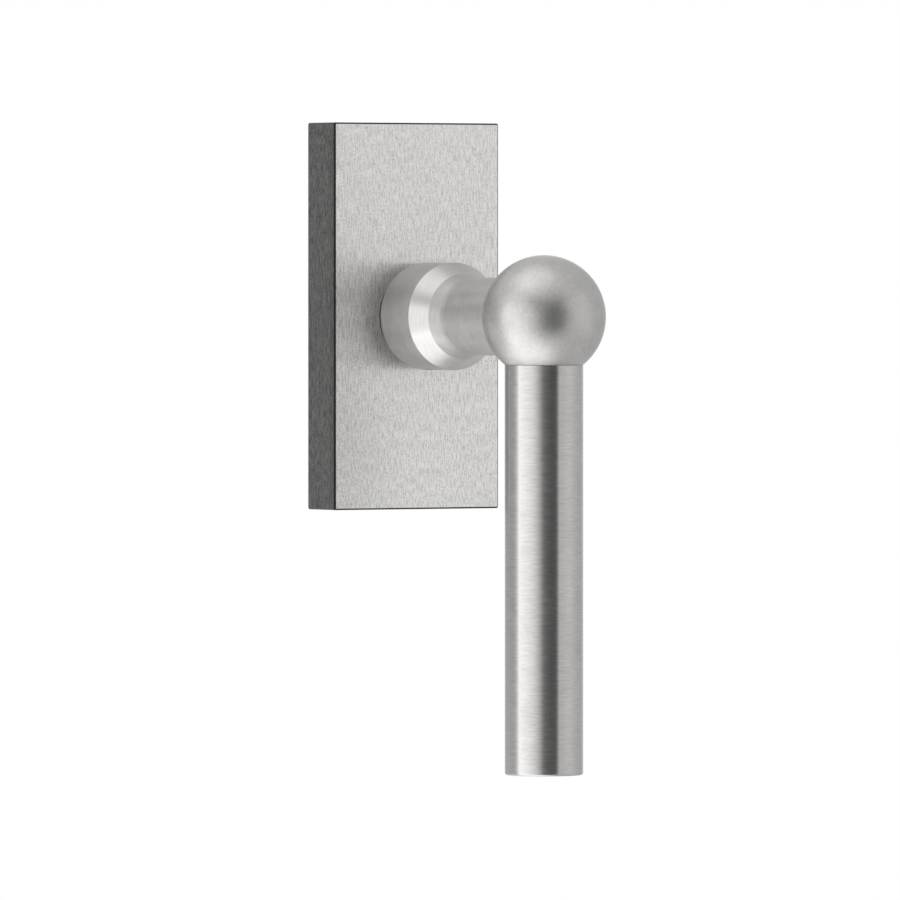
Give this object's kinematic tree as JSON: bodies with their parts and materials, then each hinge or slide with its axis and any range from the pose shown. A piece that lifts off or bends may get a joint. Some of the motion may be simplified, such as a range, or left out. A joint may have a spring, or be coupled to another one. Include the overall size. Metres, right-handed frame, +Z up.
{
  "type": "tilt turn window handle",
  "caption": "Window handle with a flat rectangular rose and a turned lever of tapered collar, neck, ball and round bar grip, on a square spindle.",
  "frame": {"origin": "where the square spindle's axis meets the mounting face at the back of the rose", "axes": "+Y along the spindle into the window, -Y into the room, +Z up, with the grip hanging down at rest"},
  "size_m": [0.04, 0.0931, 0.1333],
  "materials": {
    "brushed_stainless": "stainless steel, fine grain brushed along the rose's height",
    "turned_stainless": "stainless steel, turned and satin ground around its axis",
    "stainless_screw": "plain stainless set screw",
    "zinc_plated_steel": "zinc-plated steel, slightly blue",
    "spring_steel": "dark phosphated spring steel",
    "bearing_steel": "polished hardened steel",
    "zinc_casting": "die-cast zinc alloy, as cast",
    "black_nylon": "black nylon, fine moulded texture",
    "white_acetal": "natural acetal"
  },
  "bodies": {
    "rose": {"rose_cover": "brushed_stainless", "cover_set_screw": "stainless_screw", "base_plate": "zinc_casting", "fixing_screws": "zinc_plated_steel", "rotor_retaining_plate": "zinc_plated_steel", "retaining_plate_rivets": "zinc_plated_steel", "bearing_bush": "black_nylon", "thrust_washer": "white_acetal", "detent_spring_left": "spring_steel", "detent_spring_right": "spring_steel"},
    "lever": {"lever_neck": "turned_stainless", "neck_circlip": "spring_steel", "lever_set_screw": "stainless_screw", "detent_rotor": "zinc_casting", "spindle": "zinc_plated_steel", "neck_stud": "zinc_plated_steel", "neck_dowel_pin": "bearing_steel", "ball": "turned_stainless", "grip_stud": "zinc_plated_steel", "grip": "turned_stainless"},
    "left_detent": {"detent_ball_left": "bearing_steel"},
    "right_detent": {"detent_ball_right": "bearing_steel"}
  },
  "joints": [
    {"name": "lever_turn", "type": "hinge", "parent": "rose", "child": "lever", "pos_m": [0, 0, 0], "axis": [0, -1, 0], "range_deg": [0, 180]},
    {"name": "detent_slide_left", "type": "slide", "parent": "rose", "child": "left_detent", "axis": [1, 0, 0], "range_m": [0, 0.0008], "stiffness_N_per_m": 1200, "springref_m": 0.0025, "deforming": ["detent_spring_left"]},
    {"name": "detent_slide_right", "type": "slide", "parent": "rose", "child": "right_detent", "axis": [-1, 0, 0], "range_m": [0, 0.0008], "stiffness_N_per_m": 1200, "springref_m": 0.0025, "deforming": ["detent_spring_right"]}
  ]
}
